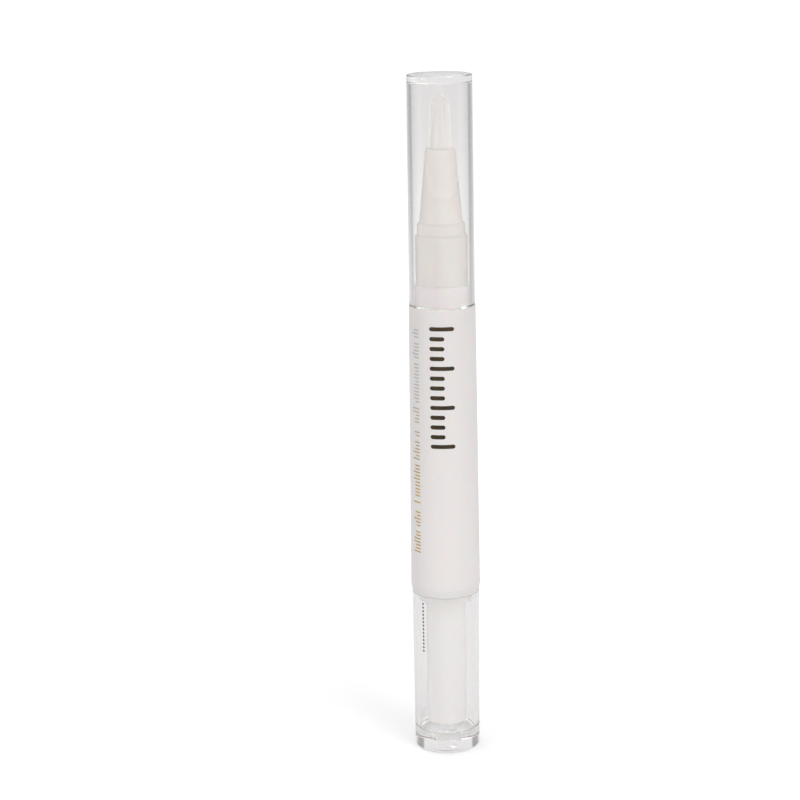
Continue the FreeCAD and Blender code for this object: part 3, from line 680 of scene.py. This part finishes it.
finishes = {
    "clear_plastic": plastic("clear_plastic", (0.999, 0.991, 0.989), (0.996, 0.986, 0.984), 0.03, 0.10,
                             IOR=1.49, Transmission_Weight=1.0),
    "frosted_plastic": plastic("frosted_plastic", (0.80, 0.765, 0.755), (0.77, 0.73, 0.725), 0.42, 0.52,
                               bump=0.12, IOR=1.49, Subsurface_Weight=0.35, Subsurface_Scale=0.8 * MM),
    "white_plastic": plastic("white_plastic", (0.99, 0.97, 0.96), (0.98, 0.96, 0.945), 0.2, 0.32,
                             bump=0.08, IOR=1.47, Subsurface_Weight=0.25, Subsurface_Scale=0.6 * MM),
    "tough_plastic": plastic("tough_plastic", (0.78, 0.765, 0.72), (0.73, 0.715, 0.67), 0.3, 0.45,
                             bump=0.08, IOR=1.48),
    "soft_plastic": plastic("soft_plastic", (0.70, 0.72, 0.74), (0.65, 0.67, 0.69), 0.45, 0.6,
                            bump=0.1, IOR=1.5, Subsurface_Weight=0.2, Subsurface_Scale=0.8 * MM),
}

# %% [markdown]
# ## Tones along the tube
# Over the white mechanism the milky tube looks whiter. Towards the front, where only oil is behind it, it is
# painted a little greyer: painted shade for light that passes through the milky wall into the clear oil and
# doesn't come back. Its ring under the cap isn't frosted and looks whiter again. Three materials would need
# their own faces. Two ramps on the height do the same inside one material.


# %% Tone by height
def tone_above(material, low, high, tone):
    """Mix a tone into a material's base colour, from none at the low height to all of it at the high one."""
    tree = material.node_tree
    base = tree.nodes["Principled BSDF"].inputs["Base Color"]
    split, mix = tree.nodes.new("ShaderNodeSeparateXYZ"), tree.nodes.new("ShaderNodeMix")
    mix.data_type = "RGBA"
    mix.inputs["B"].default_value = (*tone, 1)
    tree.links.new(tree.nodes.new("ShaderNodeTexCoord").outputs["Object"], split.inputs["Vector"])
    tree.links.new(ramp(tree, split.outputs["Z"], low * MM, high * MM), mix.inputs["Factor"])
    tree.links.new(base.links[0].from_socket, mix.inputs["A"])
    tree.links.new(mix.outputs["Result"], base)
    print(f"{material.name}: new tone from {low:.1f} to {high:.1f} mm")


MECHANISM_TOP = 40.0
# painted shade: the tube's front is darker where only clear oil lies behind the milky wall
OIL_PAINTED_SHADE = (0.73, 0.70, 0.69)
RING_BLEND = 0.3
RING_TONE = (0.91, 0.86, 0.86)

tone_above(finishes["frosted_plastic"], MECHANISM_TOP, SHOULDER, OIL_PAINTED_SHADE)
tone_above(finishes["frosted_plastic"], SHOULDER, SHOULDER + RING_BLEND, RING_TONE)

# %% [markdown]
# ## Ivory and nylon
# The brush cone and the neck below it come from another mould than the white core and are a warmer ivory.
# The filaments are nylon. Subsurface light would suit it, but it goes wrong in something thinner than the
# distance it travels and tints the filaments, so they are plain and pale and rely on their own gloss.

# %% Ivory and nylon materials
brush_plastic = plastic("brush_plastic", (0.86, 0.825, 0.79), (0.83, 0.795, 0.755), 0.22, 0.34, bump=0.08,
                        IOR=1.47, Subsurface_Weight=0.25, Subsurface_Scale=0.6 * MM)
finishes["bristle_nylon"] = plastic("bristle_nylon", (0.99, 0.975, 0.95), (0.97, 0.955, 0.93), 0.3, 0.45,
                                    IOR=1.53)

# %% [markdown]
# ## Foil
# The foils are thin metal, which tints what it mirrors: dark bronze for the scale and the knob's dots, gilt
# for the bars. Where the stamping pressed unevenly they show a fine mottling, which the moulded group gives
# at a smaller scale. Up the tube the gilt is worn, so its warm tone fades to grey.

# %% Foil materials
FOIL_FLOW, FOIL_GRAIN = 500.0, 9000.0
GILT_FADE = (54.0, 76.0)
WORN_GILT = (0.50, 0.475, 0.44)

bronze_foil = plastic("bronze_foil", (0.085, 0.06, 0.032), (0.02, 0.014, 0.01), 0.28, 0.5, bump=0.2,
                      flow=FOIL_FLOW, grain=FOIL_GRAIN, Metallic=0.85)
gilt_foil = plastic("gilt_foil", (0.72, 0.44, 0.06), (0.34, 0.21, 0.02), 0.3, 0.5, bump=0.2,
                    flow=FOIL_FLOW, grain=FOIL_GRAIN, Metallic=0.9)
tone_above(gilt_foil, *GILT_FADE, WORN_GILT)

# %% [markdown]
# ## Giving each piece its finish
# A node from the frame names the kind of plastic it is made of, so one loop dresses them all, and only the
# two ivory pieces are set apart. The new pieces came without a material and get theirs from a list.

# %% Assign the finishes
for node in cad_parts.values():
    for slot in node.material_slots:
        slot.material = finishes[slot.material.name.split(".")[0]]
for name in ("brush_holder", "neck_plug"):
    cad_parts[name].material_slots[0].material = brush_plastic

dressing = (
    (clear_cap, finishes["clear_plastic"]),
    (clear_knob, finishes["clear_plastic"]),
    (frosted_barrel, finishes["frosted_plastic"]),
    (threaded_rod, finishes["tough_plastic"]),
    (bristles, finishes["bristle_nylon"]),
    (foil_scale, bronze_foil),
    (foil_bars, gilt_foil),
    (knob_dots, bronze_foil),
)
for piece, finish in dressing:
    piece.data.materials.append(finish)

# %% [markdown]
# ## Telling rays apart
# Clear plastic shows whatever its walls bend into view, so on an all-white stage its edges vanish. A
# photographer adds something darker beside the set. Here the room is pale towards its walls and darker
# towards its four corners, and only rays that a clear wall threw aside see that shade. What lies straight
# behind a clear piece is a light, even grey instead, and white only for the camera itself. Darker cards
# around the pen would do the same but also dim it. Light Path tells the rays apart without touching the
# light that falls on the pen, and the paper and the room use the same masks.


# %% Ray masks
def ray_masks(tree, direction, corner, stretch=1.0):
    """Four masks: what the camera sees, what gloss and clear plastic show, its straight part, its corners.

    A straight view has met no dull surface on its way, which Diffuse Depth counts. A ray was thrown
    aside when it leaves clear plastic after a reflection, which Glossy Depth counts. It goes to a corner
    where the smaller of |x| and stretch * |y| comes near the larger one: corner says at which ratio the
    mask starts and at which it is full. A stretch over 1 turns the corners towards the X axis.
    """
    path = tree.nodes.new("ShaderNodeLightPath").outputs
    through = arithmetic(tree, "MAXIMUM", path["Is Glossy Ray"], path["Is Transmission Ray"])
    straight = arithmetic(tree, "GREATER_THAN", through, path["Diffuse Depth"])
    aside = arithmetic(tree, "MINIMUM", path["Glossy Depth"], path["Is Transmission Ray"])
    split = tree.nodes.new("ShaderNodeSeparateXYZ")
    tree.links.new(direction, split.inputs["Vector"])
    x, y = (arithmetic(tree, "ABSOLUTE", split.outputs[axis]) for axis in "XY")
    y = arithmetic(tree, "MULTIPLY", y, stretch)
    slope = arithmetic(tree, "DIVIDE", arithmetic(tree, "MINIMUM", x, y), arithmetic(tree, "MAXIMUM", x, y))
    cornered = arithmetic(tree, "MULTIPLY", aside, ramp(tree, slope, *corner))
    return path["Is Camera Ray"], through, straight, cornered


# %% [markdown]
# ## Paper that glows
# The pen stands on white paper. Paper that is only lit would need so much light for a white ground that the
# pen would burn out, so it also glows a little. For the camera the glow grows with the distance from the
# pen: far away the paper is white, and near the pen it still takes a soft shadow. Seen through plastic it
# glows less, and least in a straight view, so the clear pieces stand out grey against the ground. Right
# under the base it glows more, as paper does that gets its light through the clear floor. Rays thrown aside
# to a corner lose some of it. Diffuse rays see no glow, so it adds nothing to the light on the pen.

# %% Paper glow
PAPER_TONE = (0.62, 0.62, 0.62)
PAPER_ROUGHNESS = 0.9
SEEN_GLOW = ((40.0, 0.395), (500.0, 0.66))
THROUGH_GLOW = ((90.0, 0.36), (240.0, 0.6))
STRAIGHT_LOSS = 0.2
UNDER_GLOW = ((3.5, 0.36), (6.5, 0.0))
CORNER_LOSS = ((90.0, 0.0), (240.0, 0.4))
PAPER_CORNER = (0.1, 0.28)

paper = bpy.data.materials.new("white_paper")
paper.use_nodes = True
paper_tree = paper.node_tree
sheet = paper_tree.nodes["Principled BSDF"]
sheet.inputs["Base Color"].default_value = (*PAPER_TONE, 1)
sheet.inputs["Roughness"].default_value = PAPER_ROUGHNESS
sheet.inputs["Specular IOR Level"].default_value = 0.0
sheet.inputs["Emission Color"].default_value = (1, 1, 1, 1)
place = paper_tree.nodes.new("ShaderNodeTexCoord").outputs["Object"]
distance = paper_tree.nodes.new("ShaderNodeVectorMath")
distance.operation = "LENGTH"
paper_tree.links.new(place, distance.inputs[0])
reach = distance.outputs["Value"]
seen, through, straight, cornered = ray_masks(paper_tree, place, PAPER_CORNER)


def by_reach(mask, steps):
    """Mask times a level that changes with the distance from the pen, between two (distance, level) steps."""
    (near, first), (far, second) = steps
    level = ramp(paper_tree, reach, near * MM, far * MM, first, second)
    return arithmetic(paper_tree, "MULTIPLY", mask, level)


glow = arithmetic(paper_tree, "ADD", by_reach(seen, SEEN_GLOW), by_reach(through, THROUGH_GLOW))
glow = arithmetic(paper_tree, "ADD", glow, by_reach(through, UNDER_GLOW))
loss = arithmetic(paper_tree, "MULTIPLY", straight, STRAIGHT_LOSS)
glow = arithmetic(paper_tree, "SUBTRACT", glow, loss)
glow = arithmetic(paper_tree, "SUBTRACT", glow, by_reach(cornered, CORNER_LOSS))
paper_tree.links.new(glow, sheet.inputs["Emission Strength"])
print("material", paper.name, "with", len(paper_tree.nodes), "nodes")

# %% [markdown]
# ## The floor
# The floor is one large square of that paper, so wide that its edge stays outside the picture. It lies a hair
# below the base: plastic that touched it all over would lose the mirror that its underside makes.

# %% White paper floor
PAPER_SIZE = 9000.0
PAPER_DROP = 0.03

half = PAPER_SIZE / 2
corners = [(x * half, y * half, -PAPER_DROP) for x, y in ((-1, -1), (1, -1), (1, 1), (-1, 1))]
floor = bpy.data.objects.new("paper_floor", skin("paper_floor", corners, [[0, 1, 2, 3]]))
floor.data.materials.append(paper)
bpy.context.scene.collection.objects.link(floor)
print("floor", PAPER_SIZE * MM, "m wide")

# %% [markdown]
# ## The room
# The room lights the pen evenly from all sides. An image of a studio would do, but no file may be read, and
# an even level keeps pale plastic from clipping. The camera, gloss and clear plastic see it as white, less
# two shades: a light one over everything seen straight through clear plastic, and a dark one in the corners
# for rays thrown aside. The dark one lies in a band of heights, so that it makes the spots in the knob's
# lower corners but leaves the horizon and the cap's roof alone.

# %% Even room light
ROOM_LEVEL = 0.6
CORNER_SHADE = 0.7
ROOM_CORNER = (0.5, 0.65)
SHADE_TOP = (0.42, 0.6)
SHADE_FOOT = (0.1, 0.22)
STRAIGHT_SHADE = 0.2
ROOM_STRETCH = 1.4

world = bpy.data.worlds.new("bright_room")
bpy.context.scene.world = world
world.use_nodes = True
room_tree = world.node_tree
direction = room_tree.nodes.new("ShaderNodeTexCoord").outputs["Generated"]
seen, through, straight, cornered = ray_masks(room_tree, direction, ROOM_CORNER, ROOM_STRETCH)
split = room_tree.nodes.new("ShaderNodeSeparateXYZ")
room_tree.links.new(direction, split.inputs["Vector"])
below = ramp(room_tree, split.outputs["Z"], *SHADE_TOP, CORNER_SHADE, 0.0)
above = ramp(room_tree, split.outputs["Z"], *SHADE_FOOT)
band = arithmetic(room_tree, "MULTIPLY", below, above)
shade = arithmetic(room_tree, "MULTIPLY", cornered, band)
even_shade = arithmetic(room_tree, "MULTIPLY", straight, STRAIGHT_SHADE)
shade = arithmetic(room_tree, "MAXIMUM", shade, even_shade)
shown = arithmetic(room_tree, "ADD", seen, through)
lift = arithmetic(room_tree, "MULTIPLY", shown, 1 - ROOM_LEVEL)
level = arithmetic(room_tree, "SUBTRACT", arithmetic(room_tree, "ADD", lift, ROOM_LEVEL), shade)
background = room_tree.nodes["Background"]
background.inputs["Color"].default_value = (1, 1, 1, 1)
room_tree.links.new(level, background.inputs["Strength"])
print("room level", ROOM_LEVEL)

# %% [markdown]
# ## Soft boxes
# One large soft box from the front right models the round pieces. Weaker ones on the left, above and
# behind keep the other sides from going dull. All are wide compared with the pen, so highlights stay
# long and soft, where point lamps would make hard white dots.

# %% Lamps
MIDDLE = (0, 0, cap_top / 2)


def soft_box(name, place, width, height, power):
    """Rectangular lamp turned towards the pen's middle; lengths are in millimetres, power in watts."""
    lamp = bpy.data.lights.new(name, "AREA")
    lamp.shape = "RECTANGLE"
    lamp.size, lamp.size_y = width * MM, height * MM
    lamp.energy = power
    box = bpy.data.objects.new(name, lamp)
    box.location = Vector(place) * MM
    box.rotation_euler = (Vector(MIDDLE) - Vector(place)).to_track_quat("-Z", "Y").to_euler()
    bpy.context.scene.collection.objects.link(box)
    print(f"{name}: {power} W")


soft_box("key_box", place=(420, -560, 420), width=420, height=520, power=2.5)
soft_box("fill_box", place=(-560, -380, 300), width=320, height=460, power=1.2)
soft_box("top_box", place=(60, -160, 760), width=460, height=460, power=1.0)
soft_box("back_box", place=(-280, 480, 620), width=460, height=460, power=1.0)

# %% [markdown]
# ## The camera
# The photograph looks down on the pen a little, from about three pen lengths away, and is very slightly
# rolled, which makes the pen lean. Distance, height and tilt were worked out from how the pen's edges
# converge and how much its round ends are foreshortened. Light may bounce more often than Blender's
# default allows, because a ray that runs down inside a clear wall would otherwise end black.

# %% Camera
CAMERA_DISTANCE = 388.0
CAMERA_HEIGHT = 163.0
CAMERA_SIDE = -8.3
CAMERA_TILT = math.radians(13.457)
CAMERA_ROLL = math.radians(1.02)
LENS = 93.67
SENSOR = 36.0
CLIP_NEAR, CLIP_FAR = 0.01, 50.0
CLEAR_BOUNCES = 24

camera_data = bpy.data.cameras.new("photo_camera")
camera_data.lens = LENS
camera_data.sensor_width = SENSOR
camera_data.clip_start, camera_data.clip_end = CLIP_NEAR, CLIP_FAR
camera = bpy.data.objects.new("photo_camera", camera_data)
bpy.context.scene.collection.objects.link(camera)
tilt = Matrix.Rotation(math.pi / 2 - CAMERA_TILT, 4, "X")
roll = Matrix.Rotation(-CAMERA_ROLL, 4, "Z")
eye = [length * MM for length in (CAMERA_SIDE, -CAMERA_DISTANCE, CAMERA_HEIGHT)]
camera.matrix_world = Matrix.Translation(eye) @ tilt @ roll
bpy.context.scene.camera = camera
bpy.context.scene.view_settings.view_transform = "Standard"
bpy.context.scene.cycles.max_bounces = CLEAR_BOUNCES
bpy.context.scene.cycles.glossy_bounces = CLEAR_BOUNCES
bpy.context.scene.cycles.transmission_bounces = CLEAR_BOUNCES
print("camera at", [round(x, 3) for x in camera.location])
